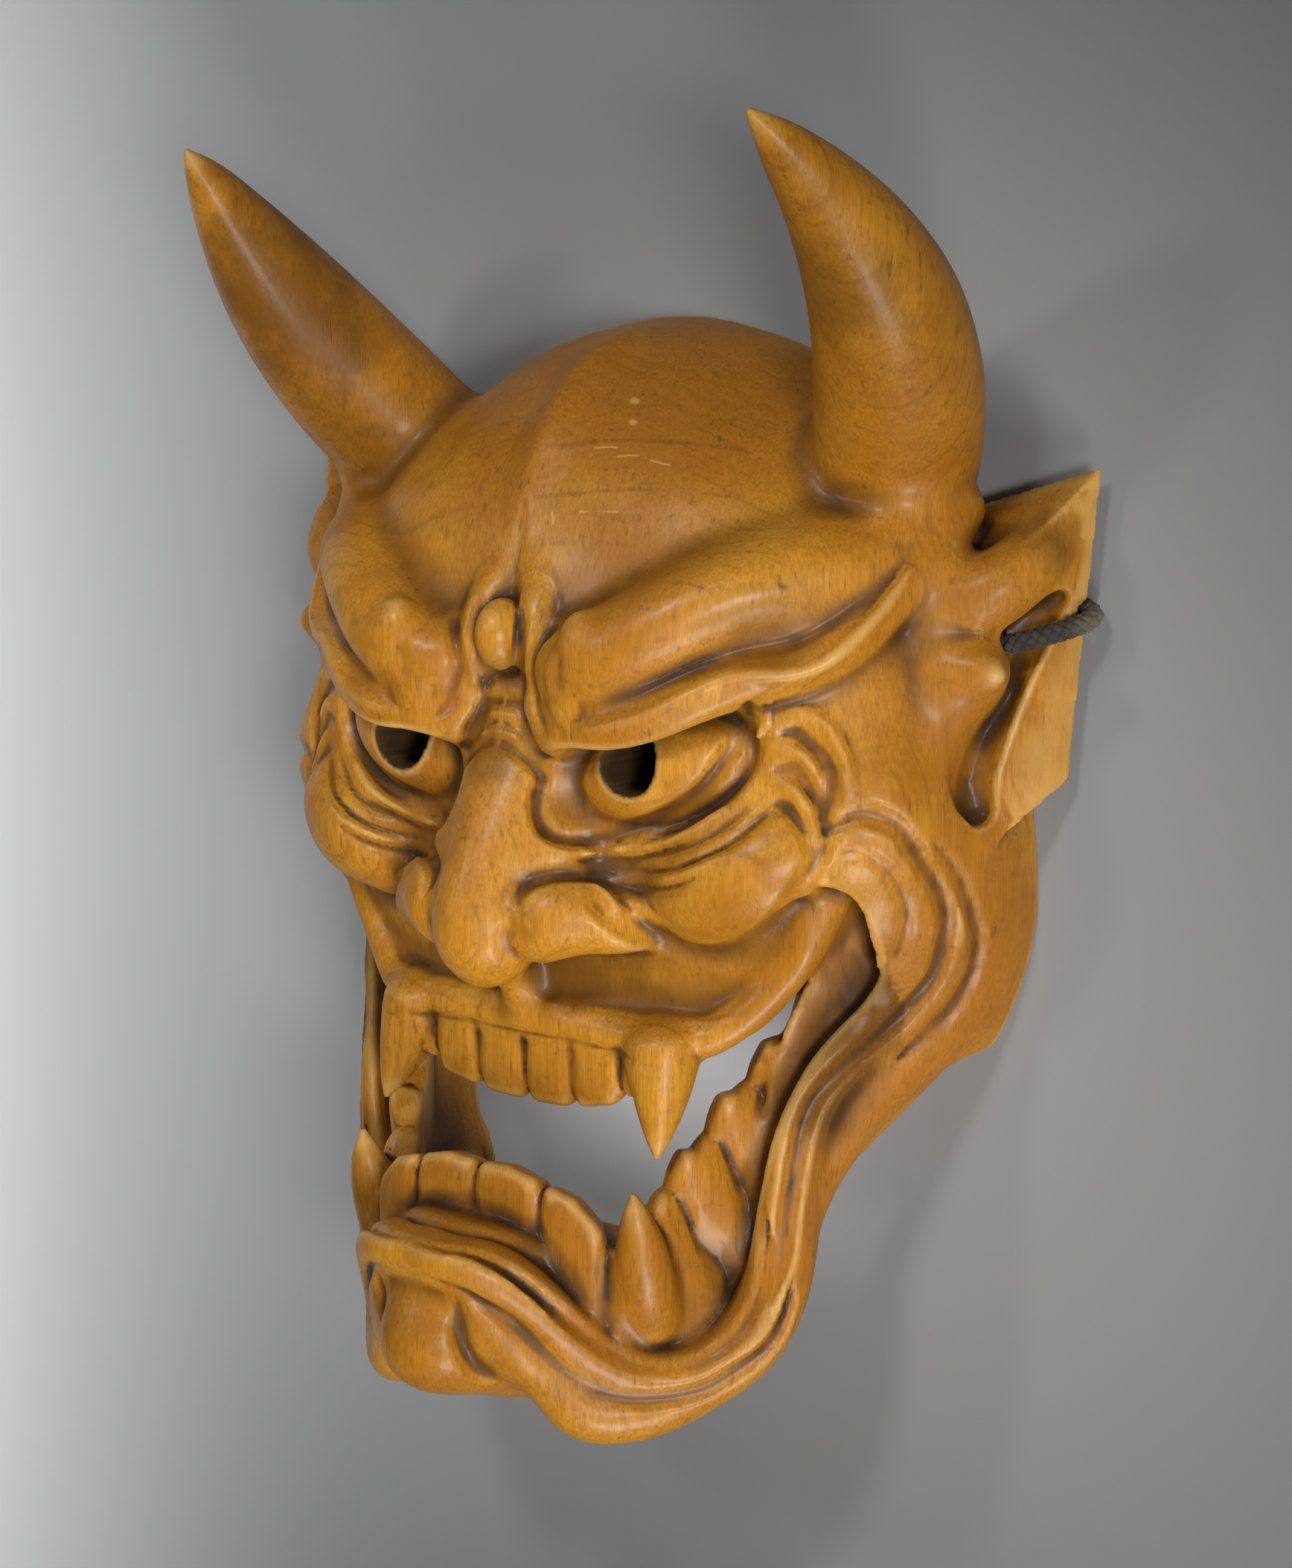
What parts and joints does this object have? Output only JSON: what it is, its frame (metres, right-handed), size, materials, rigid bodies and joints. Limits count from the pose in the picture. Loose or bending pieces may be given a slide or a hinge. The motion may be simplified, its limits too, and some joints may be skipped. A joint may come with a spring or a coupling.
{
  "type": "hannya mask",
  "caption": "Carved wooden horned demon mask, hollow behind, with open mouth, fangs, eye holes and a braided cord through the ears, lying face up.",
  "frame": {"origin": "centre of the mask's footprint on the table it lies on", "axes": "+Y toward the crown and horns, +Z out of the face, +X to the mask's left cheek as the viewer sees it on the right"},
  "size_m": [0.2336, 0.2938, 0.109],
  "materials": {
    "varnished_wood": "clear varnish over amber-brown wood, darker in the recesses",
    "grey_cord": "round braided cotton cord, dark grey-brown"
  },
  "bodies": {
    "root": {"mask": "varnished_wood", "cord": "grey_cord"}
  },
  "joints": []
}
